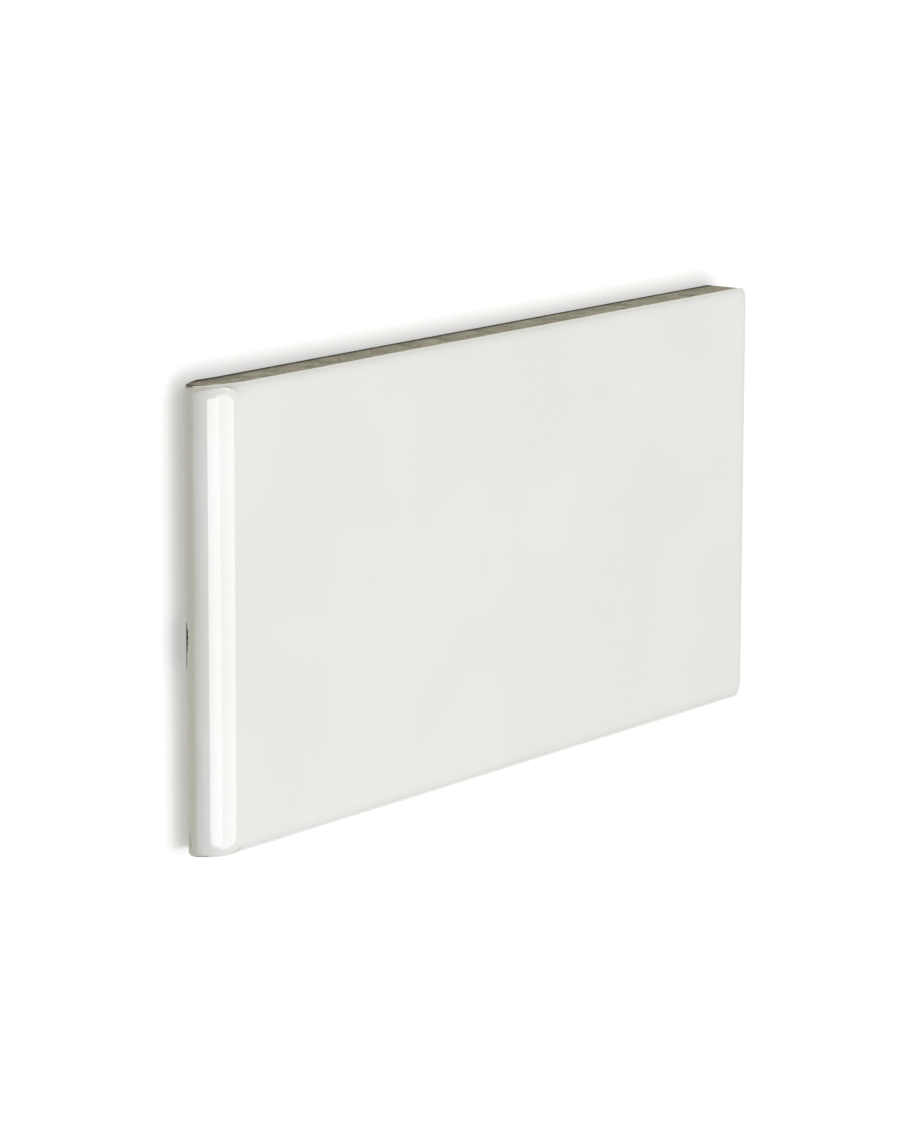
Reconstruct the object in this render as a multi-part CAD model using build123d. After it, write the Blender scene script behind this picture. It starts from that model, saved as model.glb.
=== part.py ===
from build123d import *
import math
import os

# Overall size of the tile as it lies on its back with the glazed face up
tile_length = 150.0
tile_width = 75.0
tile_thickness = 9.0

# Cushioned rim, where the face falls away towards its two long sides and its square end
rim_width = 2.6
rim_drop = 1.4

# Upright corners of the square end, rounded less than the rim is wide
corner_radius = 1.5

# Bullnose along the short edge at -X
nose_crest_height = 4.7
nose_face_reach = 7.0
nose_back_reach = 6.5
nose_back_angle = 15.0

# Chamfer that takes the sharpness off the back edges of the pressed body
back_edge_break = 0.4

# Key grid pressed into the back, which gives the adhesive its grip
key_border = 6.0
key_pitch = 15.6
key_rib_width = 3.2
key_depth = 0.6
key_draft = 25.0
key_corner_radius = 1.5

# Places that follow from the sizes above
nose_x = -tile_length / 2
end_x = tile_length / 2
side_y = tile_width / 2
tool_margin = 2.0


def pressed_blank():
    """Flat block with its two corners at the square end rounded in plan."""
    block = Pos(0, 0, tile_thickness / 2) * Box(tile_length, tile_width, tile_thickness)
    end_corners = block.edges().filter_by(Axis.Z).group_by(Axis.X)[-1]
    return fillet(end_corners, corner_radius)


def rim_section(reach):
    """What the rim takes off, seen along the face's edge: x outwards from the edge, y up from the face."""
    foot_height = -rim_drop
    fall = EllipticalCenterArc((-rim_width, foot_height), rim_width, rim_drop, 0, arc_size=90)
    surround = Polyline((-rim_width, 0), (-rim_width, tool_margin), (tool_margin, tool_margin),
                        (tool_margin, foot_height), (0, foot_height))
    section = make_face(Curve() + [fall, surround])
    return section & Pos(tool_margin - reach / 2, 0) * Rectangle(reach, 4 * tool_margin)


def rim_cutter():
    """Solid of what the rim takes off: straight runs that cross at the corners, and two rounded corners."""
    full_reach = rim_width + tool_margin
    corner_reach = corner_radius + tool_margin
    side_start = Plane(origin=(nose_x - tool_margin, side_y, tile_thickness), x_dir=(0, 1, 0), z_dir=(1, 0, 0))
    end_start = Plane(origin=(end_x, side_y + tool_margin, tile_thickness), x_dir=(1, 0, 0), z_dir=(0, -1, 0))
    far_side = extrude(side_start * rim_section(full_reach), amount=tile_length + 2 * tool_margin)
    square_end = extrude(end_start * rim_section(full_reach), amount=tile_width + 2 * tool_margin)
    centre = (end_x - corner_radius, side_y - corner_radius, 0)
    corner_start = Plane(origin=(end_x, centre[1], tile_thickness), x_dir=(1, 0, 0), z_dir=(0, -1, 0))
    far_corner = revolve(corner_start * rim_section(corner_reach), axis=Axis(centre, (0, 0, 1)), revolution_arc=90)
    return [far_side, mirror(far_side, about=Plane.XZ), square_end, far_corner, mirror(far_corner, about=Plane.XZ)]


def nose_prism():
    """Side outline of the tile with its rounded nose, drawn out across the tile's width."""
    face_start = (nose_x + nose_face_reach, tile_thickness)
    crest = (nose_x, nose_crest_height)
    back_start = (nose_x + nose_back_reach, 0)
    turn_height = nose_back_reach * math.tan(math.radians(nose_back_angle))
    face_rise = tile_thickness - nose_crest_height
    face_curve = EllipticalCenterArc((face_start[0], nose_crest_height), nose_face_reach, face_rise, 90, arc_size=90)
    back_curve = Bezier(crest, (nose_x, turn_height), back_start)
    rest = Polyline(back_start, (end_x, 0), (end_x, tile_thickness), face_start)
    outline = make_face(Plane.XZ * (Curve() + [face_curve, back_curve, rest]))
    return extrude(outline, amount=side_y, both=True)


def key_grid():
    """Shallow drafted pockets between the ribs of the back, centred on its flat field."""
    field_start = nose_x + nose_back_reach + key_border
    field_length = end_x - key_border - field_start
    field_width = tile_width - 2 * key_border
    columns = math.floor((field_length + key_rib_width) / key_pitch)
    rows = math.floor((field_width + key_rib_width) / key_pitch)
    pocket_side = key_pitch - key_rib_width
    centre_x = field_start + field_length / 2
    pocket = RectangleRounded(pocket_side, pocket_side, key_corner_radius)
    pockets = Sketch() + [place * pocket for place in GridLocations(key_pitch, key_pitch, columns, rows)]
    return extrude(Pos(centre_x, 0, 0) * pockets, amount=key_depth, taper=key_draft)


def bullnose_tile():
    """The fired tile, pressed in one piece."""
    cushioned = pressed_blank() - rim_cutter()
    nosed = cushioned & nose_prism()
    back_edges = nosed.faces().sort_by(Axis.Z)[0].edges()
    nose_edge = back_edges.sort_by(Axis.X)[0]
    eased = chamfer([edge for edge in back_edges if edge != nose_edge], back_edge_break)
    return eased - key_grid()


os.makedirs("parts", exist_ok=True)
tile = bullnose_tile()
export_step(tile, "parts/tile.step")
print("tile volume", tile.volume, "valid", tile.is_valid, "solids", len(tile.solids()))
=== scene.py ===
import logging
import math
from dataclasses import dataclass, field
from enum import Enum
from typing import Any

import bmesh
import bpy
import numpy as np
from bmesh.types import BMesh, BMVert
from bpy.types import ID, Material, Mesh, Node, NodeSocket, NodeTree, Object
from mathutils import Matrix, Vector


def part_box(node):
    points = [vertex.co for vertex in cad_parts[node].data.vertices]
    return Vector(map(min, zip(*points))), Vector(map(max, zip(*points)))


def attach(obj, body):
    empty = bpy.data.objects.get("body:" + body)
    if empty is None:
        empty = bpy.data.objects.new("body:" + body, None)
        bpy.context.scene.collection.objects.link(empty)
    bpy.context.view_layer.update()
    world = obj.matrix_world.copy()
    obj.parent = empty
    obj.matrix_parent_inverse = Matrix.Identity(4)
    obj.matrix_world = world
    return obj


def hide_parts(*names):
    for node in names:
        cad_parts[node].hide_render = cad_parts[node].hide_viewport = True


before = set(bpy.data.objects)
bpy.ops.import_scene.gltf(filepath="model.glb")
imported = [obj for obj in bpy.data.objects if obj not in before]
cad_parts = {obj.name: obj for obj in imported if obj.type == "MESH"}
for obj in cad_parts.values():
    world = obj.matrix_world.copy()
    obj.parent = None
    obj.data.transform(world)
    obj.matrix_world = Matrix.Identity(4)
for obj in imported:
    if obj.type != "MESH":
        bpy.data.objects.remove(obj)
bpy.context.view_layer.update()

log = logging.getLogger("bullnose_tile")

# A glazed wall tile with one short edge rounded over, lying face up on a pale floor.
# Shapes are worked out in millimetres and written to the meshes in metres.
MM = 0.001
TILE_NODE = "tile"
# Vertex attribute: how far a point lies above the glaze's edge, in millimetres.
GLAZE_REACH = "glaze_reach"
# Its value where the edge is far away.
FAR_REACH = 8.0

Colour = tuple[float, float, float]
Point = tuple[float, float, float]
Span = tuple[float, float]


class Zone(Enum):
    """Which finish a face of the tile wears, as the number of its material slot."""

    GLAZE = 0
    BISQUE = 1


class Stretch(Enum):
    """The eight stretches of the tile's outline, in the order in which its columns run."""

    NOSE = 0
    NOSE_FAR_CORNER = 1
    FAR_SIDE = 2
    END_FAR_CORNER = 3
    END = 4
    END_NEAR_CORNER = 5
    NEAR_SIDE = 6
    NOSE_NEAR_CORNER = 7


class Term:
    """A socket that takes part in arithmetic: each operator adds a Math node to its tree."""

    def __init__(self, bench: "NodeBench", socket: NodeSocket) -> None:
        """Keep the bench that makes nodes and the output socket that carries the value."""
        self.bench = bench
        self.socket = socket

    def _math(self, operation: str, first: Any, second: Any) -> "Term":
        """Add a Math node for two operands, each a number or a term."""
        settings = {"operation": operation}
        return self.bench.term("ShaderNodeMath", settings, {0: first, 1: second})

    def __add__(self, other: Any) -> "Term":
        """self + other."""
        return self._math("ADD", self, other)

    def __radd__(self, other: Any) -> "Term":
        """other + self."""
        return self._math("ADD", other, self)

    def __sub__(self, other: Any) -> "Term":
        """self - other."""
        return self._math("SUBTRACT", self, other)

    def __rsub__(self, other: Any) -> "Term":
        """other - self."""
        return self._math("SUBTRACT", other, self)

    def __mul__(self, other: Any) -> "Term":
        """self * other."""
        return self._math("MULTIPLY", self, other)

    def __rmul__(self, other: Any) -> "Term":
        """other * self."""
        return self._math("MULTIPLY", other, self)

    def __truediv__(self, other: Any) -> "Term":
        """self / other."""
        return self._math("DIVIDE", self, other)

    def __rtruediv__(self, other: Any) -> "Term":
        """other / self."""
        return self._math("DIVIDE", other, self)

    def ease(self, low: float, high: float) -> "Term":
        """Rise smoothly from 0 to 1.

        Args:
            low: value at which the result is 0.
            high: value at which the result is 1, which may lie below low.

        Returns:
            The eased value.
        """
        settings = {"interpolation_type": "SMOOTHSTEP"}
        inputs = {"Value": self, "From Min": low, "From Max": high}
        return self.bench.term("ShaderNodeMapRange", settings, inputs)


class NodeBench:
    """Makes the nodes of one shader or geometry tree."""

    def __init__(self, tree: NodeTree) -> None:
        """Start on a tree, which is emptied."""
        self.tree = tree
        tree.nodes.clear()

    @staticmethod
    def _find(sockets: Any, key: int | str) -> NodeSocket:
        """Find one of a node's inputs or outputs by its number, its identifier or its name."""
        named = [socket for socket in sockets if socket.identifier == key]
        return named[0] if named else sockets[key]

    def node(self, kind: str, settings: dict | None = None, inputs: dict | None = None) -> Node:
        """Make one node.

        Args:
            kind: the node's type.
            settings: the node's own settings, which are set first.
            inputs: values, terms or sockets for its inputs, by number, identifier or name.

        Returns:
            The node.
        """
        node = self.tree.nodes.new(kind)
        for name, value in (settings or {}).items():
            setattr(node, name, value)
        for key, value in (inputs or {}).items():
            socket = self._find(node.inputs, key)
            source = value.socket if isinstance(value, Term) else value
            if isinstance(source, NodeSocket):
                self.tree.links.new(source, socket)
            else:
                socket.default_value = source
        return node

    def term(self, kind: str, settings: dict | None = None, inputs: dict | None = None,
             output: int | str = 0) -> Term:
        """Make one node, as node() does, and take one of its outputs as a term."""
        made = self.node(kind, settings, inputs)
        return Term(self, self._find(made.outputs, output))

    def noise(self, coordinates: Term, scale: float, detail: float = 2.0, roughness: float = 0.5) -> Term:
        """Add a Noise Texture with so many features per metre and a value of about 0.3 to 0.7."""
        inputs = {"Vector": coordinates, "Scale": scale, "Detail": detail, "Roughness": roughness}
        return self.term("ShaderNodeTexNoise", None, inputs, "Fac")

    def blend(self, factor: Any, first: Any, second: Any) -> Term:
        """Mix two colours.

        Args:
            factor: share of the second colour.
            first: colour, or the term that carries it.
            second: colour, or the term that carries it.

        Returns:
            The mixed colour.
        """
        colours = [value if isinstance(value, Term) else (*value, 1.0) for value in (first, second)]
        inputs = {"Factor_Float": factor, "A_Color": colours[0], "B_Color": colours[1]}
        return self.term("ShaderNodeMix", {"data_type": "RGBA"}, inputs, "Result_Color")

    def stretched(self, coordinates: Term, factors: Point) -> Term:
        """Scale a place by a factor of its own along each axis."""
        inputs = {0: coordinates, 1: factors}
        return self.term("ShaderNodeVectorMath", {"operation": "MULTIPLY"}, inputs)

    def axes(self, vector: Term) -> list[Term]:
        """Split a vector into its parts along X, Y and Z."""
        split = self.node("ShaderNodeSeparateXYZ", None, {"Vector": vector})
        return [Term(self, output) for output in split.outputs]


class ShaderBench(NodeBench):
    """Makes the nodes of one material."""

    def __init__(self, name: str) -> None:
        """Start a material.

        Args:
            name: the material's name.
        """
        self.material = bpy.data.materials.new(name)
        self.material.use_nodes = True
        super().__init__(self.material.node_tree)
        self.place = self.term("ShaderNodeTexCoord", None, None, "Object")
        self.reach = self.term("ShaderNodeAttribute", {"attribute_name": GLAZE_REACH}, None, "Fac")

    def finished(self, shader: Node) -> Material:
        """Set the material's surface to a shader and hand the material over."""
        self.node("ShaderNodeOutputMaterial", None, {"Surface": shader.outputs[0]})
        return self.material


def put_in_scene(name: str, data: ID) -> Object:
    """Make an object and put it in the scene.

    Args:
        name: the object's name.
        data: its mesh, light or camera.

    Returns:
        The object.
    """
    placed = bpy.data.objects.new(name, data)
    bpy.context.scene.collection.objects.link(placed)
    return placed


def metres(*lengths: float) -> list[float]:
    """Turn millimetres into metres."""
    return [length * MM for length in lengths]


def smoothed(share: np.ndarray) -> np.ndarray:
    """Ease shares of 0 to 1 in and out."""
    return share * share * (3.0 - 2.0 * share)


@dataclass(frozen=True)
class Patch:
    """A small ragged patch on the glaze: its middle and half its size, in millimetres."""

    centre: Point
    half_size: Point
    strength: float = 1.0


@dataclass(frozen=True)
class GlazeFinish:
    """Gloss off-white glaze, even on the face and warm where it thins over an edge, with painted shade
    along that edge and on the nose.
    """

    colour: Colour = (0.69, 0.69, 0.68)
    clouded_colour: Colour = (0.672, 0.673, 0.655)
    # Warm thin-glaze tint, darkened to add painted shade along the glaze's lower edge.
    thin_and_shaded_colour: Colour = (0.60, 0.58, 0.445)
    # Painted shade on the lower part of the nose.
    nose_shade_colour: Colour = (0.515, 0.508, 0.438)
    speck_colour: Colour = (0.42, 0.40, 0.34)
    # Near-black matt patches: smudges, and painted shade at the nose's tip and near corner.
    smudge_and_shade_colour: Colour = (0.022, 0.024, 0.02)
    # Painted shade beside the glaze's run.
    run_shade_colour: Colour = (0.36, 0.355, 0.28)
    index_of_refraction: float = 1.56
    gloss_roughness: float = 0.05
    breath_roughness: float = 0.035
    breath_scale: float = 76.0
    smudge_and_shade_roughness: float = 0.9
    dry_edge: float = 0.4
    dry_edge_mm: Span = (0.7, 0.1)
    thin_and_shaded_mm: float = 1.2
    thin_and_shaded_waver_mm: float = 0.5
    waver_scale: float = 304.0
    thin_and_shaded_share: float = 0.82
    soft_edge_mm: Span = (2.6, 0.4)
    soft_edge_share: float = 0.18
    nose_shade_mm: Span = (7.4, 5.8)
    nose_mask_mm: Span = (-66.5, -71.0)
    cloud_scale: float = 38.0
    cloud_range: Span = (0.35, 0.65)
    speck_scale: float = 210.0
    speck_radii: Span = (0.0352, 0.022)
    speck_choice: Span = (0.86, 0.9)
    speck_share: float = 0.6
    ripple_scale: float = 130.0
    ripple_height_mm: float = 0.01
    ragged_scale: float = 1300.0
    raggedness: float = 0.9
    # The first two are smudges on the nose; the last two are painted shade at its far tip and along its
    # near lower edge.
    smudges_and_shade: tuple[Patch, ...] = (
        Patch((-73.9, -2.6, 2.35), (2.3, 3.2, 1.3)),
        Patch((-73.8, -5.3, 2.2), (2.0, 2.9, 0.95)),
        Patch((-74.4, 37.48, 3.7), (0.6, 0.2, 1.0), 0.65),
        Patch((-74.0, -37.5, 4.9), (1.3, 0.26, 2.1), 0.9),
    )
    run_shade_patch: Patch = Patch((-74.8, -35.4, 3.7), (1.0, 1.7, 0.42), 0.9)
    run_of_glaze: Patch = Patch((-74.9, -34.8, 4.2), (1.2, 2.4, 0.24))
    run_core: float = 0.15
    run_height_mm: float = 0.09
    # Share of the nose's painted shade that the run lifts, a painted highlight.
    run_highlight_share: float = 0.7

    def material(self) -> Material:
        """Build the glaze, with matt smudges and matt patches of painted shade over it.

        Returns:
            The material.
        """
        bench = ShaderBench("gloss_glaze")
        breath = bench.noise(bench.place, self.breath_scale, 3.0)
        ripple = bench.noise(bench.place, self.ripple_scale, 1.5, 0.4)
        run = self._patch(bench, self.run_of_glaze, self.run_core)
        normal = bench.term("ShaderNodeBump", None, {
            "Height": self.ripple_height_mm * ripple + self.run_height_mm * run,
            "Strength": 1.0, "Distance": MM})
        dryness = self.dry_edge * bench.reach.ease(*self.dry_edge_mm)
        gloss = bench.node("ShaderNodeBsdfPrincipled", None, {
            "Base Color": self._colour(bench, run), "Normal": normal,
            "Roughness": self.gloss_roughness + self.breath_roughness * breath + dryness,
            "IOR": self.index_of_refraction})
        matt = bench.node("ShaderNodeBsdfPrincipled", None, {
            "Base Color": (*self.smudge_and_shade_colour, 1.0), "Roughness": self.smudge_and_shade_roughness,
            "Specular IOR Level": 0.0})
        # Smudges and painted shade, as matt near-black patches.
        mark = sum(self._patch(bench, patch) for patch in self.smudges_and_shade)
        return bench.finished(bench.node("ShaderNodeMixShader", None, {
            0: mark, 1: gloss.outputs["BSDF"], 2: matt.outputs["BSDF"]}))

    def _colour(self, bench: ShaderBench, run: Term) -> Term:
        """Colour the glaze: faint clouds, painted shade on the nose, a warm tint with painted shade where
        thin, a few specks and painted shade beside the glaze's run.

        Args:
            bench: maker of the nodes.
            run: where the glaze has run and lies thicker; there the painted nose shade is lifted as a
                painted highlight.

        Returns:
            The colour.
        """
        clouds = bench.noise(bench.place, self.cloud_scale).ease(*self.cloud_range)
        body = bench.blend(clouds, self.colour, self.clouded_colour)
        # Painted shade on the lower part of the nose, lifted where the glaze has run.
        nose_mask = bench.axes(bench.place)[0].ease(*metres(*self.nose_mask_mm))
        nose_shade_amount = bench.reach.ease(*self.nose_shade_mm) * nose_mask * (1.0 - self.run_highlight_share * run)
        nose = bench.blend(nose_shade_amount, body, self.nose_shade_colour)
        waver = bench.noise(bench.place, self.waver_scale)
        # Warm thin-glaze tint with painted shade along the glaze's lower edge, and a faint broader band of
        # it.
        edge = (bench.reach + self.thin_and_shaded_waver_mm * (waver - 0.5)).ease(self.thin_and_shaded_mm, 0.0)
        soft = bench.reach.ease(*self.soft_edge_mm) * self.soft_edge_share
        wrapped = bench.blend(edge * self.thin_and_shaded_share + soft, nose, self.thin_and_shaded_colour)
        cells = bench.node("ShaderNodeTexVoronoi", None, {"Vector": bench.place, "Scale": self.speck_scale})
        near = Term(bench, cells.outputs["Distance"]).ease(*self.speck_radii)
        chosen = bench.term("ShaderNodeSeparateColor", None, {"Color": cells.outputs["Color"]}, 0)
        specks = near * chosen.ease(*self.speck_choice)
        specked = bench.blend(specks * self.speck_share, wrapped, self.speck_colour)
        # Painted shade beside the glaze's run.
        return bench.blend(self._patch(bench, self.run_shade_patch), specked, self.run_shade_colour)

    def _patch(self, bench: ShaderBench, patch: Patch, core: float = 0.85) -> Term:
        """Mask a ragged patch.

        Args:
            bench: maker of the nodes.
            patch: where the patch is and how large.
            core: share of the patch that has its full strength.

        Returns:
            The patch's strength on it and 0 off it.
        """
        shares = tuple(1.0 / value for value in metres(*patch.half_size))
        offset = bench.term("ShaderNodeVectorMath", {"operation": "SUBTRACT"}, {
            0: bench.place, 1: metres(*patch.centre)})
        scaled = bench.stretched(offset, shares)
        distance = bench.term("ShaderNodeVectorMath", {"operation": "LENGTH"}, {0: scaled}, "Value")
        ragged = bench.noise(bench.stretched(bench.place, (1.0, 1.0, 0.5)), self.ragged_scale, 3.0, 0.6)
        return (distance + self.raggedness * (ragged - 0.5)).ease(1.05, core) * patch.strength


@dataclass(frozen=True)
class BisqueFinish:
    """Bare fired body: matt grey-beige clay with grog, iron specks and press drag lines."""

    light_colour: Colour = (0.38, 0.36, 0.275)
    dark_colour: Colour = (0.205, 0.20, 0.145)
    brown_colour: Colour = (0.31, 0.265, 0.19)
    iron_colour: Colour = (0.10, 0.082, 0.062)
    grog_colour: Colour = (0.55, 0.52, 0.44)
    # Dark colour of painted shade, partly stain too, along the back edge and beside the nose.
    shade_and_stain_colour: Colour = (0.035, 0.03, 0.022)
    roughness: float = 0.86
    grain_roughness: float = 0.12
    specular: float = 0.08
    mottle_scale: float = 260.0
    mottle_mix: Point = (0.55, 0.25, 0.2)
    mottle_range: Span = (0.37, 0.63)
    hue_scale: float = 117.0
    hue_range: Span = (0.42, 0.62)
    hue_share: float = 0.4
    grog_scale: float = 1040.0
    grog_range: Span = (0.64, 0.70)
    grog_share: float = 0.7
    iron_scale: float = 936.0
    iron_range: Span = (0.66, 0.72)
    iron_share: float = 0.8
    grain_scale: float = 2600.0
    grain_height_mm: float = 0.05
    drag_scales: Point = (60.0, 60.0, 1800.0)
    drag_height_mm: float = 0.03
    far_side_normal: Span = (0.15, 0.5)
    # Painted shade, partly stain, along the far side's back edge.
    back_shade_line_mm: Span = (2.0, 0.9)
    back_shade_line_waver_mm: Span = (0.8, 0.9)
    back_shade_line_share: float = 0.96
    # Painted shade under the glaze's edge beside the nose.
    nose_edge_shade_mm: Span = (-69.0, -72.0)
    nose_edge_shade_width_mm: float = 0.3
    nose_edge_shade_widening: tuple[tuple[float, Span], ...] = ((1.3, (-70.2, -71.4)), (2.8, (-72.0, -72.5)))
    nose_edge_shade_share: float = 0.95

    def material(self) -> Material:
        """Build the bare body.

        Returns:
            The material.
        """
        bench = ShaderBench("bare_bisque")
        grain = bench.noise(bench.place, self.grain_scale, 3.0, 0.65)
        drag = bench.noise(bench.stretched(bench.place, self.drag_scales), 1.0, 3.0, 0.6)
        clay = self._clay(bench, grain, drag)
        coarse = bench.term("ShaderNodeBump", None, {
            "Height": drag, "Strength": 1.0, "Distance": self.drag_height_mm * MM})
        normal = bench.term("ShaderNodeBump", None, {
            "Height": grain, "Strength": 1.0, "Distance": self.grain_height_mm * MM, "Normal": coarse})
        return bench.finished(bench.node("ShaderNodeBsdfPrincipled", None, {
            "Base Color": self._with_painted_shade(bench, grain, drag, clay), "Normal": normal,
            "Roughness": self.roughness + self.grain_roughness * (grain - 0.5),
            "Specular IOR Level": self.specular}))

    def _clay(self, bench: ShaderBench, grain: Term, drag: Term) -> Term:
        """Colour the clay: mottled, with pale grog and iron specks.

        Args:
            bench: maker of the nodes.
            grain: fine noise.
            drag: noise drawn out along the tile's sides.

        Returns:
            The colour.
        """
        mottle = bench.noise(bench.place, self.mottle_scale, 3.0, 0.6)
        of_mottle, of_grain, of_drag = self.mottle_mix
        mixed = (mottle * of_mottle + grain * of_grain + drag * of_drag).ease(*self.mottle_range)
        clay = bench.blend(mixed, self.dark_colour, self.light_colour)
        hue = bench.noise(bench.place, self.hue_scale, 2.0, 0.6).ease(*self.hue_range)
        toned = bench.blend(hue * self.hue_share, clay, self.brown_colour)
        grog = bench.noise(bench.place, self.grog_scale, 1.0).ease(*self.grog_range)
        gritty = bench.blend(grog * self.grog_share, toned, self.grog_colour)
        iron = bench.noise(bench.stretched(bench.place, (1.0, 1.0, 1.6)), self.iron_scale, 1.0)
        return bench.blend(iron.ease(*self.iron_range) * self.iron_share, gritty, self.iron_colour)

    def _with_painted_shade(self, bench: ShaderBench, grain: Term, drag: Term, clay: Term) -> Term:
        """Paint shade, partly stain, along the far side's back edge, and paint shade under the glaze's edge
        beside the nose.

        Args:
            bench: maker of the nodes.
            grain: fine noise.
            drag: noise drawn out along the tile's sides.
            clay: the clay's colour.

        Returns:
            The darkened colour.
        """
        along, _, height = bench.axes(bench.place)
        facing = bench.axes(bench.term("ShaderNodeTexCoord", None, None, "Normal"))
        far_side = facing[1].ease(*self.far_side_normal)
        # Painted shade, partly stain, along the far side's back edge.
        drag_waver, grain_waver = metres(*self.back_shade_line_waver_mm)
        wavering = height + drag_waver * (drag - 0.5) + grain_waver * (grain - 0.5)
        low = wavering.ease(*metres(*self.back_shade_line_mm))
        lined = bench.blend(low * far_side * self.back_shade_line_share, clay, self.shade_and_stain_colour)
        # Painted shade under the glaze's edge beside the nose.
        width = self.nose_edge_shade_width_mm
        for wider, span in self.nose_edge_shade_widening:
            width = width + wider * along.ease(*metres(*span))
        by_edge = (bench.reach / width).ease(-1.0, -0.5)
        nose_edge_shade = by_edge * along.ease(*metres(*self.nose_edge_shade_mm)) * self.nose_edge_shade_share
        return bench.blend(nose_edge_shade * far_side, lined, self.shade_and_stain_colour)


@dataclass(frozen=True)
class FloorFinish:
    """Plain white studio floor, lit a little from below like a light table."""

    colour: Colour = (0.60, 0.60, 0.60)
    glow: float = 0.36
    roughness: float = 0.8
    sheen: float = 0.1

    def material(self) -> Material:
        """Build the floor's finish.

        Returns:
            The material.
        """
        bench = ShaderBench("pale_floor")
        return bench.finished(bench.node("ShaderNodeBsdfPrincipled", None, {
            "Base Color": (*self.colour, 1.0), "Roughness": self.roughness,
            "Specular IOR Level": self.sheen,
            "Emission Color": (1.0, 1.0, 1.0, 1.0), "Emission Strength": self.glow}))


@dataclass(frozen=True)
class NoseCurve:
    """Side outline of the rounded short edge, in millimetres."""

    tip_x: float
    thickness: float
    crest_height: float = 4.7
    face_reach: float = 7.0
    back_reach: float = 6.5
    back_angle: float = 15.0

    def x(self, z: np.ndarray) -> np.ndarray:
        """Place of the nose's surface along the tile.

        Args:
            z: heights above the back plane.

        Returns:
            The place along X at each height.
        """
        share = np.clip((z - self.crest_height) / (self.thickness - self.crest_height), 0.0, 1.0)
        face = self.face_reach * (1.0 - np.sqrt(1.0 - share ** 2))
        # The back curve is a quadratic one through the crest, with its handle at turn_height.
        turn_height = self.back_reach * math.tan(math.radians(self.back_angle))
        bend = self.crest_height - 2.0 * turn_height
        fall = 2.0 * (turn_height - self.crest_height)
        below = np.clip(self.crest_height - z, 0.0, self.crest_height)
        step = (-fall - np.sqrt(fall ** 2 - 4.0 * bend * below)) / (2.0 * bend)
        return self.tip_x + np.where(z >= self.crest_height, face, self.back_reach * step ** 2)


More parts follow.
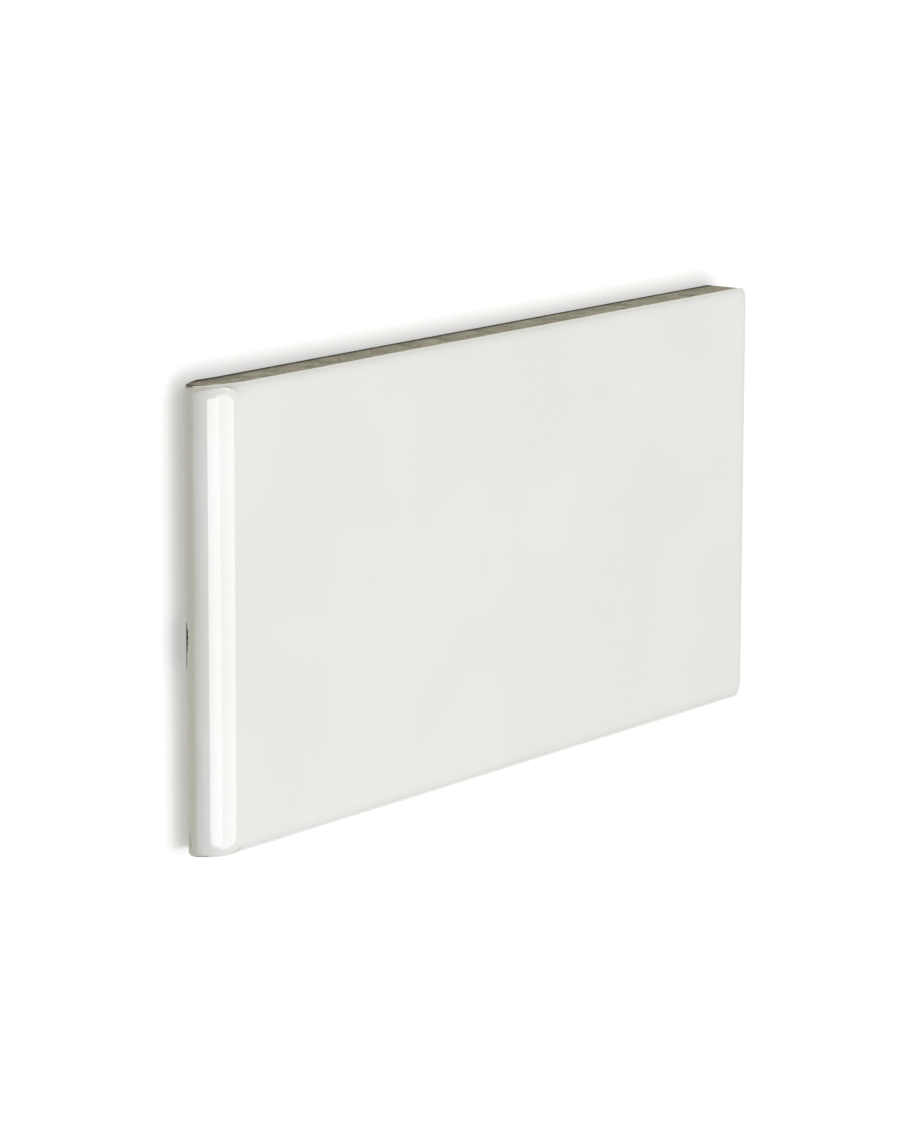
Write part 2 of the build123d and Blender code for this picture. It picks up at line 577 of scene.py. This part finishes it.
@dataclass
class TileForm:
    """The rule that the tile's surface follows: its outline at each height, in millimetres."""

    length: float
    width: float
    thickness: float
    rim_width: float = 3.0
    rim_drop: float = 1.4
    end_corner_low: float = 1.1
    end_corner_high: float = 2.4
    end_corner_grown_inset: float = 0.7
    nose_corner_low: float = 0.55
    nose_corner_high: float = 1.9
    nose_corner_foot: float = 0.35
    nose_corner_rise: float = 0.45
    nose_corner_rim_share: float = 0.6
    least_nose_corner: float = 0.4
    least_radius: float = 0.05
    back_break: float = 0.4
    glaze_thickness: float = 0.10
    nose: NoseCurve = field(init=False)

    def __post_init__(self) -> None:
        """Fit the nose to the tile's own length and thickness."""
        self.nose = NoseCurve(tip_x=-self.length / 2, thickness=self.thickness)

    def rim_inset(self, z: np.ndarray) -> np.ndarray:
        """How far the cushioned rim has drawn in at each height above the back plane."""
        share = np.clip((z - self.thickness + self.rim_drop) / self.rim_drop, 0.0, 1.0)
        return self.rim_width * (1.0 - np.sqrt(1.0 - share ** 2))

    def nose_corner(self, z: np.ndarray) -> np.ndarray:
        """Radius of the outline's corners beside the nose.

        Args:
            z: heights above the back plane.

        Returns:
            The radius at each height.
        """
        foot = self.nose_corner_foot * self.thickness
        share = np.clip((z - foot) / (self.nose_corner_rise * self.thickness), 0.0, 1.0)
        grown = (self.nose_corner_high - self.nose_corner_low) * smoothed(share)
        drawn_in = self.nose_corner_rim_share * self.rim_inset(z)
        return np.maximum(self.nose_corner_low + grown - drawn_in, self.least_nose_corner)

    def end_corner(self, rim: np.ndarray) -> np.ndarray:
        """Radius of the square end's corners, which the glaze rounds more than the body.

        Args:
            rim: how far the rim has drawn in at each height.

        Returns:
            The radius at each height.
        """
        share = np.clip(rim / self.end_corner_grown_inset, 0.0, 1.0)
        eased = share * (2.0 - share)
        return self.end_corner_low + (self.end_corner_high - self.end_corner_low) * eased

    def outline(self, columns: "Columns", z: np.ndarray, inset: np.ndarray) -> np.ndarray:
        """Place every column at its own height.

        Args:
            columns: the columns round the tile.
            z: each column's height.
            inset: how far each column is drawn in from the outline.

        Returns:
            Points, one row for each column.
        """
        rim = self.rim_inset(z)
        left = self.nose.x(z) + inset
        right = self.length / 2 - rim - inset
        half = self.width / 2 - rim - inset
        nose_radius = np.maximum(self.nose_corner(z) - inset, self.least_radius)
        end_radius = np.maximum(self.end_corner(rim) - inset, self.least_radius)
        x = np.empty_like(z)
        y = np.empty_like(z)
        for stretch in Stretch:
            here = columns.stretch == stretch.value
            share = columns.share[here]
            x[here], y[here] = self._place(stretch, share, left[here], right[here], half[here],
                                           nose_radius[here], end_radius[here])
        return np.stack([x, y, z], axis=-1)

    def crest_points(self, columns: "Columns") -> np.ndarray:
        """Place every column at the height of the nose's crest."""
        crest = np.full(columns.count, self.nose.crest_height)
        return self.outline(columns, crest, np.zeros(columns.count))

    @staticmethod
    def _place(stretch: Stretch, share: np.ndarray, left: np.ndarray, right: np.ndarray, half: np.ndarray,
               nose_radius: np.ndarray, end_radius: np.ndarray) -> tuple[np.ndarray, np.ndarray]:
        """Place the columns of one stretch.

        Args:
            stretch: which stretch of the outline.
            share: each column's way along the stretch, 0 to 1.
            left: the nose's place along X.
            right: the square end's place along X.
            half: half the width.
            nose_radius: radius of the corners beside the nose.
            end_radius: radius of the corners of the square end.

        Returns:
            Places along X and Y.
        """
        nose_y = half - nose_radius
        end_y = half - end_radius
        side_start = left + nose_radius
        side_end = right - end_radius
        turn = share * math.pi / 2
        if stretch is Stretch.NOSE:
            return left, nose_y * (2.0 * share - 1.0)
        if stretch is Stretch.NOSE_FAR_CORNER:
            return side_start - nose_radius * np.cos(turn), nose_y + nose_radius * np.sin(turn)
        if stretch is Stretch.FAR_SIDE:
            return side_start + (side_end - side_start) * share, half
        if stretch is Stretch.END_FAR_CORNER:
            return side_end + end_radius * np.sin(turn), end_y + end_radius * np.cos(turn)
        if stretch is Stretch.END:
            return right, end_y * (1.0 - 2.0 * share)
        if stretch is Stretch.END_NEAR_CORNER:
            return side_end + end_radius * np.cos(turn), -end_y - end_radius * np.sin(turn)
        if stretch is Stretch.NEAR_SIDE:
            return side_end + (side_start - side_end) * share, -half
        return side_start - nose_radius * np.sin(turn), -nose_y - nose_radius * np.cos(turn)


@dataclass
class Columns:
    """The columns of points that run up round the tile, evenly along its ends and closer by the nose."""

    across: int = 48
    along: int = 96
    corner: int = 7
    nose_crowding: float = 2.2
    crowded_share: float = 0.3
    stretch: np.ndarray = field(init=False)
    share: np.ndarray = field(init=False)

    def __post_init__(self) -> None:
        """Lay out the columns of each stretch, leaving the last point to the next stretch."""
        even = np.linspace(0.0, 1.0, self.across + 1)
        turn = np.linspace(0.0, 1.0, self.corner + 1)
        side = self.side_shares()
        shares = {
            Stretch.NOSE: even, Stretch.NOSE_FAR_CORNER: turn, Stretch.FAR_SIDE: side,
            Stretch.END_FAR_CORNER: turn, Stretch.END: even, Stretch.END_NEAR_CORNER: turn,
            Stretch.NEAR_SIDE: 1.0 - side[::-1], Stretch.NOSE_NEAR_CORNER: turn}
        self.stretch = np.concatenate([np.full(len(part) - 1, key.value) for key, part in shares.items()])
        self.share = np.concatenate([part[:-1] for part in shares.values()])

    def side_shares(self) -> np.ndarray:
        """Shares along a long side from the nose, closer together by the nose."""
        even = np.linspace(0.0, 1.0, self.along + 1)
        return even ** self.nose_crowding * self.crowded_share + even * (1.0 - self.crowded_share)

    def first(self, stretch: Stretch) -> int:
        """Number of the first column of a stretch."""
        return int(np.argmax(self.stretch == stretch.value))

    @property
    def count(self) -> int:
        """How many columns there are."""
        return len(self.share)


@dataclass
class GlazeEdge:
    """Height of the glaze's lower edge round the tile, in millimetres, with its hand-dipped waver."""

    side_height: float = 7.15
    tip_height: float = 4.6
    rise_length: float = 8.0
    dive_length: float = 1.5
    nose_back_height: float = 0.85
    waver: float = 0.06
    waver_under_nose: float = 0.6
    waver_octaves: int = 5
    waver_pitch: float = 0.05
    seed: int = 11

    def heights(self, form: TileForm, columns: Columns) -> np.ndarray:
        """Work out where the glaze ends on each column.

        Args:
            form: the tile's form.
            columns: the columns round it.

        Returns:
            One height for each column.
        """
        points = form.crest_points(columns)
        from_tip = points[:, 0] + form.length / 2
        # Along a side the edge follows the nose down, and then dives under it.
        way = np.clip(from_tip / self.rise_length, 0.0, 1.0)
        side = self.side_height - (self.side_height - self.tip_height) * 0.5 * (1.0 + np.cos(math.pi * way))
        dive = smoothed(np.clip(from_tip / self.dive_length, 0.0, 1.0))
        height = self.nose_back_height + (side - self.nose_back_height) * dive
        return height + self._waver(points, dive)

    def _waver(self, places: np.ndarray, dive: np.ndarray) -> np.ndarray:
        """Slow uneven run of the glaze's edge.

        Args:
            places: a point on each column.
            dive: 0 under the nose and 1 along the sides.

        Returns:
            The change in height for each column.
        """
        rng = np.random.default_rng(self.seed)
        total = np.zeros(len(places))
        for octave in range(self.waver_octaves):
            pitch = self.waver_pitch * 2.0 ** octave
            shift_x, shift_y = rng.uniform(0.0, 2.0 * math.pi, 2)
            along = np.sin(places[:, 0] * pitch * 2.0 + shift_x)
            across = np.sin(places[:, 1] * pitch * 2.3 + shift_y)
            total += along * across / (1.0 + 0.5 * octave)
        return self.waver * total * (self.waver_under_nose + (1.0 - self.waver_under_nose) * dive)


@dataclass
class TileShell:
    """Everything of the tile but the key field of its back: sides, nose, rim and face."""

    form: TileForm
    columns: Columns
    edge: GlazeEdge
    side_levels: int = 4
    lip_levels: int = 4
    break_levels: int = 3
    glaze_levels: int = 34
    lip_rise: float = 1.3
    face_undulation: float = 0.02
    wave_along: float = 0.045
    wave_across: float = 0.06
    wave_fade: float = 8.0
    seed: int = 5

    def build(self, mesh: BMesh) -> None:
        """Add the shell to a mesh, open at the back.

        Args:
            mesh: the mesh to add to, which has the reach layer already.
        """
        rings, reaches = self._rings()
        layer = mesh.verts.layers.float[GLAZE_REACH]
        verts = [[self._vert(mesh, layer, point, reach) for point, reach in zip(ring, reach_ring)]
                 for ring, reach_ring in zip(rings, reaches)]
        bare_rings = self.break_levels + self.side_levels
        for level in range(len(verts) - 1):
            zone = Zone.BISQUE if level < bare_rings else Zone.GLAZE
            self._band(mesh, verts[level], verts[level + 1], zone)
        self._face(mesh, layer, verts[-1])

    @staticmethod
    def _vert(mesh: BMesh, layer: Any, point: np.ndarray, reach: float) -> BMVert:
        """Add a point to a mesh.

        Args:
            mesh: the mesh to add to.
            layer: the reach layer.
            point: the place, in millimetres.
            reach: how far it lies above the glaze's edge.

        Returns:
            The new vertex.
        """
        vert = mesh.verts.new(Vector(point * MM))
        vert[layer] = float(reach)
        return vert

    @staticmethod
    def _band(mesh: BMesh, low: list[BMVert], high: list[BMVert], zone: Zone) -> None:
        """Join a lower and an upper ring with quads that wear one finish."""
        for a, b, c, d in zip(low, low[1:] + low[:1], high[1:] + high[:1], high):
            mesh.faces.new((a, d, c, b)).material_index = zone.value

    def _rings(self) -> tuple[list[np.ndarray], list[np.ndarray]]:
        """Work out the rings of points from the back plane up to the flat of the face.

        Returns:
            The rings, and each point's reach above the glaze's edge.
        """
        form, columns = self.form, self.columns
        seam = self.edge.heights(form, columns)
        from_tip = form.crest_points(columns)[:, 0] + form.length / 2
        ease = form.back_break * np.clip(from_tip / form.nose.back_reach, 0.0, 1.0)
        lip = form.glaze_thickness
        body_inset = np.full(columns.count, lip)
        rings = []
        for turn in np.linspace(0.0, math.pi / 2, self.break_levels + 1):
            inset = body_inset + ease * (1.0 - math.sin(turn))
            rings.append(form.outline(columns, ease * (1.0 - math.cos(turn)), inset))
        for share in np.linspace(0.0, 1.0, self.side_levels + 1)[1:]:
            rings.append(form.outline(columns, ease + (seam - ease) * share, body_inset))
        for turn in np.linspace(0.0, math.pi / 2, self.lip_levels + 1)[1:]:
            inset = body_inset * (1.0 - math.sin(turn))
            rings.append(form.outline(columns, seam + self.lip_rise * lip * (1.0 - math.cos(turn)), inset))
        start = seam + self.lip_rise * lip
        none = np.zeros(columns.count)
        for turn in np.linspace(0.0, math.pi / 2, self.glaze_levels + 1)[1:]:
            rings.append(form.outline(columns, start + (form.thickness - start) * math.sin(turn), none))
        return rings, self._reaches(rings)

    def _reaches(self, rings: list[np.ndarray]) -> list[np.ndarray]:
        """Distance of each point above the glaze's edge along its column.

        Args:
            rings: the rings of points.

        Returns:
            One array of distances for each ring.
        """
        steps = [np.linalg.norm(high - low, axis=1) for low, high in zip(rings, rings[1:])]
        travelled = np.concatenate([np.zeros((1, self.columns.count)), np.cumsum(steps, axis=0)])
        return list(travelled - travelled[self.break_levels + self.side_levels])

    def _face(self, mesh: BMesh, layer: Any, ring: list[BMVert]) -> None:
        """Fill the flat of the face: a grid, four strips beside it and a fan in each corner.

        Args:
            mesh: the mesh to add to.
            layer: the reach layer.
            ring: the ring round the flat of the face.
        """
        columns = self.columns
        far = columns.first(Stretch.FAR_SIDE)
        end = columns.first(Stretch.END)
        near = columns.first(Stretch.NEAR_SIDE)
        far_row = ring[far:far + columns.along + 1]
        end_row = ring[end:end + columns.across + 1]
        near_row = [ring[(near + step) % len(ring)] for step in range(columns.along + 1)][::-1]
        nose_row = ring[0:columns.across + 1]
        grid = self._grid(mesh, layer, far_row, nose_row, end_row)
        for column, next_column in zip(grid, grid[1:]):
            for a, b, c, d in zip(column, next_column, next_column[1:], column[1:]):
                mesh.faces.new((a, b, c, d)).material_index = Zone.GLAZE.value
        inner_near = [column[0] for column in grid]
        inner_far = [column[-1] for column in grid]
        self._strip(mesh, near_row, inner_near)
        self._strip(mesh, inner_far, far_row)
        self._strip(mesh, grid[0], nose_row)
        self._strip(mesh, end_row, grid[-1][::-1])
        hubs = {Stretch.NOSE_FAR_CORNER: grid[0][-1], Stretch.END_FAR_CORNER: grid[-1][-1],
                Stretch.END_NEAR_CORNER: grid[-1][0], Stretch.NOSE_NEAR_CORNER: grid[0][0]}
        for corner, hub in hubs.items():
            start = columns.first(corner)
            for step in range(start, start + columns.corner):
                fan = (ring[step], hub, ring[(step + 1) % len(ring)])
                mesh.faces.new(fan).material_index = Zone.GLAZE.value

    def _grid(self, mesh: BMesh, layer: Any, far_row: list[BMVert], nose_row: list[BMVert],
              end_row: list[BMVert]) -> list[list[BMVert]]:
        """Lay the grid of points inside the face's ring, with a faint undulation.

        Args:
            mesh: the mesh to add to.
            layer: the reach layer.
            far_row: the ring along the far side, from the nose.
            nose_row: the ring along the nose, from the near side.
            end_row: the ring along the square end, from the far side.

        Returns:
            The grid's points, by column from the nose and row from the near side.
        """
        radius_nose = abs(far_row[0].co.y) / MM - abs(nose_row[-1].co.y) / MM
        radius_end = abs(far_row[-1].co.y) / MM - abs(end_row[0].co.y) / MM
        shares = self.columns.side_shares()
        phases = np.random.default_rng(self.seed).uniform(0.0, 2.0 * math.pi, (4, 2))
        grid = []
        for share, vert in zip(shares, far_row):
            half = vert.co.y / MM - (radius_nose + (radius_end - radius_nose) * share)
            x = vert.co.x / MM
            column = []
            for step in np.linspace(-1.0, 1.0, self.columns.across + 1):
                y = half * step
                inward = min(1.0 - abs(step), share, 1.0 - share) * self.wave_fade
                depth = self._undulation(x, y, phases) * min(inward, 1.0)
                point = np.array([x, y, self.form.thickness - depth])
                column.append(self._vert(mesh, layer, point, FAR_REACH))
            grid.append(column)
        return grid

    def _undulation(self, x: float, y: float, phases: np.ndarray) -> float:
        """Work out how deep the face's faint waves lie at a place, never above the flat.

        Args:
            x: place along the tile, in millimetres.
            y: place across the tile, in millimetres.
            phases: how far each order of waves is shifted along and across.

        Returns:
            The depth below the flat, in millimetres.
        """
        waves = [math.sin(x * self.wave_along * (order + 1) + a) *
                 math.sin(y * self.wave_across * (order + 1) + b) / (order + 1)
                 for order, (a, b) in enumerate(phases)]
        return self.face_undulation * (0.5 + 0.25 * sum(waves))

    @staticmethod
    def _strip(mesh: BMesh, first: list[BMVert], second: list[BMVert]) -> None:
        """Join two rows of points with glazed quads."""
        for a, b, c, d in zip(first, first[1:], second[1:], second):
            mesh.faces.new((a, b, c, d)).material_index = Zone.GLAZE.value


@dataclass
class KeyField:
    """Field of shallow drafted pockets pressed into the back, one cell repeated on a grid."""

    columns: int = 8
    rows: int = 4
    pitch: float = 15.6
    rib_width: float = 3.2
    depth: float = 0.6
    draft: float = 25.0
    corner_radius: float = 1.5
    edge_radius: float = 0.16
    weld_mm: float = 0.001
    corner_steps: int = 6
    centre_x: float = 3.25

    def _outline(self, grow: float, z: float) -> list[Point]:
        """Rounded square of a pocket.

        Args:
            grow: how far it stands outside the pocket's mouth.
            z: its height.

        Returns:
            Its points, counter-clockwise from below the first corner.
        """
        half = (self.pitch - self.rib_width) / 2 + grow
        radius = max(self.corner_radius + grow, 0.1)
        points = []
        for quarter in range(4):
            for step in range(self.corner_steps + 1):
                turn = (quarter + step / self.corner_steps) * math.pi / 2
                corner = (quarter + 0.5) * math.pi / 2
                centre = (half - radius) * math.sqrt(2.0)
                points.append((centre * math.cos(corner) + radius * math.cos(turn),
                               centre * math.sin(corner) + radius * math.sin(turn), z))
        return points

    def _cell(self) -> Object:
        """Build one cell: a flat square of rib tops round one pocket.

        Returns:
            The cell's object, centred on the origin.
        """
        mesh = bmesh.new()
        slope = math.tan(math.radians(self.draft))
        edge = self.edge_radius
        # The pocket's section from its mouth to its floor: how far out and how deep.
        profile = [(edge, 0.0), (edge * 0.35, edge * 0.12), (0.0, edge * 0.5),
                   (-(self.depth - edge * 0.6) * slope, self.depth - edge * 0.5),
                   (-self.depth * slope - edge * 0.3, self.depth - edge * 0.12),
                   (-self.depth * slope - edge, self.depth)]
        rings = [[mesh.verts.new(Vector(point) * MM) for point in self._outline(grow, z)]
                 for grow, z in profile]
        for outer, inner in zip(rings, rings[1:]):
            for a, b, c, d in zip(outer, outer[1:] + outer[:1], inner[1:] + inner[:1], inner):
                mesh.faces.new((a, b, c, d))
        mesh.faces.new(rings[-1])
        half = self.pitch / 2
        corners = [mesh.verts.new(Vector((x * half, y * half, 0.0)) * MM)
                   for x, y in ((1, 1), (-1, 1), (-1, -1), (1, -1))]
        mouth = rings[0]
        per_corner = self.corner_steps + 1
        for quarter, corner in enumerate(corners):
            start = quarter * per_corner
            for step in range(start, start + self.corner_steps):
                mesh.faces.new((corner, mouth[step + 1], mouth[step]))
            last = start + self.corner_steps
            next_corner = corners[(quarter + 1) % 4]
            mesh.faces.new((corner, next_corner, mouth[(last + 1) % len(mouth)], mouth[last]))
        bmesh.ops.recalc_face_normals(mesh, faces=mesh.faces)
        data = bpy.data.meshes.new("key_cell")
        mesh.to_mesh(data)
        mesh.free()
        return put_in_scene("key_cell", data)

    def _tree(self) -> NodeTree:
        """Make the tree that repeats a cell on a grid.

        Returns:
            The tree, with named inputs for its sizes.
        """
        tree = bpy.data.node_groups.new("key_field", "GeometryNodeTree")
        bench = NodeBench(tree)
        kinds = {"Cell": "Geometry", "Columns": "Int", "Rows": "Int", "Pitch": "Float",
                 "Centre": "Vector", "Finish": "Material"}
        for name, kind in kinds.items():
            tree.interface.new_socket(name, in_out="INPUT", socket_type="NodeSocket" + kind)
        tree.interface.new_socket("Field", in_out="OUTPUT", socket_type="NodeSocketGeometry")
        given = bench.node("NodeGroupInput")
        value = {name: Term(bench, given.outputs[name]) for name in ("Columns", "Rows", "Pitch")}
        grid = bench.node("GeometryNodeMeshGrid", None, {
            "Size X": (value["Columns"] - 1.0) * value["Pitch"],
            "Size Y": (value["Rows"] - 1.0) * value["Pitch"],
            "Vertices X": value["Columns"], "Vertices Y": value["Rows"]})
        cells = bench.node("GeometryNodeInstanceOnPoints", None, {
            "Points": grid.outputs["Mesh"], "Instance": given.outputs["Cell"]})
        placed = bench.node("GeometryNodeTransform", None, {
            "Geometry": cells.outputs["Instances"], "Translation": given.outputs["Centre"]})
        real = bench.node("GeometryNodeRealizeInstances", None, {"Geometry": placed.outputs[0]})
        joined = bench.node("GeometryNodeMergeByDistance", None, {
            "Geometry": real.outputs[0], "Distance": self.weld_mm * MM})
        dressed = bench.node("GeometryNodeSetMaterial", None, {
            "Geometry": joined.outputs[0], "Material": given.outputs["Finish"]})
        bench.node("NodeGroupOutput", None, {"Field": dressed.outputs[0]})
        return tree

    def mesh(self, finish: Material) -> Mesh:
        """Make the whole field as a plain mesh.

        Args:
            finish: the material of the bare body.

        Returns:
            The mesh, in place.
        """
        cell = self._cell()
        tree = self._tree()
        modifier = cell.modifiers.new("key_field", "NODES")
        modifier.node_group = tree
        values = {"Columns": self.columns, "Rows": self.rows, "Pitch": self.pitch * MM,
                  "Centre": (self.centre_x * MM, 0.0, 0.0), "Finish": finish}
        for item in tree.interface.items_tree:
            if item.item_type == "SOCKET" and item.name in values:
                modifier[item.identifier] = values[item.name]
        graph = bpy.context.evaluated_depsgraph_get()
        made = bpy.data.meshes.new_from_object(cell.evaluated_get(graph))
        cell.modifiers.clear()
        bpy.data.objects.remove(cell)
        return made


@dataclass
class BullnoseTile:
    """The whole fired tile: glazed face and nose, bare sides and keyed back, as one piece."""

    name: str = "bullnose_tile"
    glaze: GlazeFinish = field(default_factory=GlazeFinish)
    bisque: BisqueFinish = field(default_factory=BisqueFinish)
    key_field: KeyField = field(default_factory=KeyField)
    sharp_angle: float = 50.0

    def build(self) -> Object:
        """Build the tile's mesh in place and dress it.

        Returns:
            The finished piece.
        """
        low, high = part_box(TILE_NODE)
        length, width, thickness = [(high[axis] - low[axis]) / MM for axis in range(3)]
        form = TileForm(length, width, thickness)
        shell = TileShell(form, Columns(), GlazeEdge())
        glaze = self.glaze.material()
        bisque = self.bisque.material()
        mesh = bmesh.new()
        mesh.verts.layers.float.new(GLAZE_REACH)
        shell.build(mesh)
        self._close_back(mesh, self.key_field.mesh(bisque))
        bmesh.ops.recalc_face_normals(mesh, faces=mesh.faces)
        for face in mesh.faces:
            face.smooth = True
        data = bpy.data.meshes.new(self.name)
        mesh.to_mesh(data)
        mesh.free()
        data.materials.append(glaze)
        data.materials.append(bisque)
        data.set_sharp_from_angle(angle=math.radians(self.sharp_angle))
        return put_in_scene(self.name, data)

    @staticmethod
    def _close_back(mesh: BMesh, field_mesh: Mesh) -> None:
        """Set the key field into the open back and fill the flat border round it.

        Args:
            mesh: the tile's mesh.
            field_mesh: the key field.
        """
        layer = mesh.verts.layers.float[GLAZE_REACH]
        known = set(mesh.verts)
        shell_faces = set(mesh.faces)
        mesh.from_mesh(field_mesh)
        border = [edge for edge in mesh.edges if edge.is_boundary]
        bmesh.ops.triangle_fill(mesh, use_beauty=True, edges=border)
        for vert in mesh.verts:
            if vert not in known:
                vert[layer] = -FAR_REACH
        for face in mesh.faces:
            if face not in shell_faces:
                face.material_index = Zone.BISQUE.value


class BoxOutline(Enum):
    """Outline of a soft box, with the share of its rectangle that it fills."""

    RECTANGLE = 1.0
    ELLIPSE = math.pi / 4


@dataclass(frozen=True)
class SoftBox:
    """A soft light over the tile, which shines straight down."""

    name: str
    place: Point
    size: Span
    radiance: float
    colour: Colour = (1.0, 1.0, 1.0)
    outline: BoxOutline = BoxOutline.RECTANGLE

    def build(self) -> None:
        """Hang the light."""
        data = bpy.data.lights.new(self.name, "AREA")
        data.shape = self.outline.name
        data.size, data.size_y = self.size
        data.energy = self.radiance * math.pi * self.size[0] * self.size[1] * self.outline.value
        data.color = self.colour
        put_in_scene(self.name, data).location = self.place


@dataclass(frozen=True)
class ViewPoint:
    """Camera place, as directions from the tile, with the roll that stands the tile up in the picture."""

    azimuth: float = -103.753
    elevation: float = 36.332
    roll: float = 98.367
    distance: float = 0.77405
    lens: float = 147.99
    film_width: float = 36.0
    clip: Span = (0.01, 50.0)
    aim: Point = (-0.00821, -0.00039, 0.0045)

    def build(self) -> None:
        """Set up the camera."""
        data = bpy.data.cameras.new("camera")
        data.lens = self.lens
        data.sensor_width = self.film_width
        data.clip_start, data.clip_end = self.clip
        turn, rise, roll = (math.radians(value) for value in (self.azimuth, self.elevation, self.roll))
        back = Vector((math.sin(turn) * math.cos(rise), -math.cos(turn) * math.cos(rise), math.sin(rise)))
        level_right = Vector((0.0, 0.0, 1.0)).cross(back).normalized()
        level_up = back.cross(level_right)
        right = level_right * math.cos(roll) + level_up * math.sin(roll)
        up = level_up * math.cos(roll) - level_right * math.sin(roll)
        place = Vector(self.aim) + back * self.distance
        camera = put_in_scene("camera", data)
        camera.matrix_world = Matrix.Translation(place) @ Matrix((right, up, back)).transposed().to_4x4()
        bpy.context.scene.camera = camera


@dataclass
class Studio:
    """Plain pale floor, soft light from above and the camera."""

    floor_size: float = 6.0
    floor_finish: FloorFinish = field(default_factory=FloorFinish)
    ambient: float = 0.40
    ambient_colour: Colour = (1.0, 1.0, 0.985)
    dim_share: float = 0.12
    nose_side: Span = (-0.3, -0.9)
    low_down: Span = (0.7, 0.1)
    view: ViewPoint = field(default_factory=ViewPoint)
    soft_boxes: tuple[SoftBox, ...] = (
        SoftBox("nose_soft_box", (-0.405, -0.17, 0.9), (0.67, 0.38), 4.6),
        SoftBox("face_soft_box", (0.10, -0.17, 0.9), (0.86, 0.78), 2.75, outline=BoxOutline.ELLIPSE),
        SoftBox("side_soft_box", (-0.1, 0.80, 0.75), (1.0, 0.50), 1.2, (1.0, 0.99, 0.95)),
        SoftBox("corner_soft_box", (0.76, 0.80, 0.75), (0.44, 0.40), 6.5, (1.0, 0.99, 0.94)),
    )

    def build(self) -> None:
        """Lay the floor, hang the lights, set the surround and place the camera."""
        self._floor()
        for soft_box in self.soft_boxes:
            soft_box.build()
        self._surround()
        self.view.build()
        bpy.context.scene.view_settings.view_transform = "Standard"
        bpy.context.scene.view_settings.look = "None"

    def _floor(self) -> None:
        """Lay the floor."""
        half = self.floor_size / 2
        data = bpy.data.meshes.new("floor")
        corners = [(-half, -half, 0.0), (half, -half, 0.0), (half, half, 0.0), (-half, half, 0.0)]
        data.from_pydata(corners, [], [(0, 1, 2, 3)])
        data.materials.append(self.floor_finish.material())
        put_in_scene("floor", data)

    def _surround(self) -> None:
        """Set the light of the room, even but for the side that the nose faces, which is dimmer."""
        world = bpy.data.worlds.new("surround")
        world.use_nodes = True
        bench = NodeBench(world.node_tree)
        direction = bench.term("ShaderNodeTexCoord", None, None, "Generated")
        along, _, up = bench.axes(direction)
        share = 1.0 - (1.0 - self.dim_share) * along.ease(*self.nose_side) * up.ease(*self.low_down)
        light = bench.node("ShaderNodeBackground", None, {
            "Color": (*self.ambient_colour, 1.0), "Strength": share * self.ambient})
        bench.node("ShaderNodeOutputWorld", None, {"Surface": light.outputs["Background"]})
        bpy.context.scene.world = world


def report(piece: Object) -> None:
    """Log a finished piece's name and how many triangles it has."""
    piece.data.calc_loop_triangles()
    log.info("%s: %d triangles", piece.name, len(piece.data.loop_triangles))


def main() -> None:
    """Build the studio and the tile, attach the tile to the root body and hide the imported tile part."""
    logging.basicConfig(level=logging.INFO, format="%(message)s")
    Studio().build()
    tile = BullnoseTile().build()
    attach(tile, "root")
    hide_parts(TILE_NODE)
    report(tile)


if __name__ == "__main__":
    main()
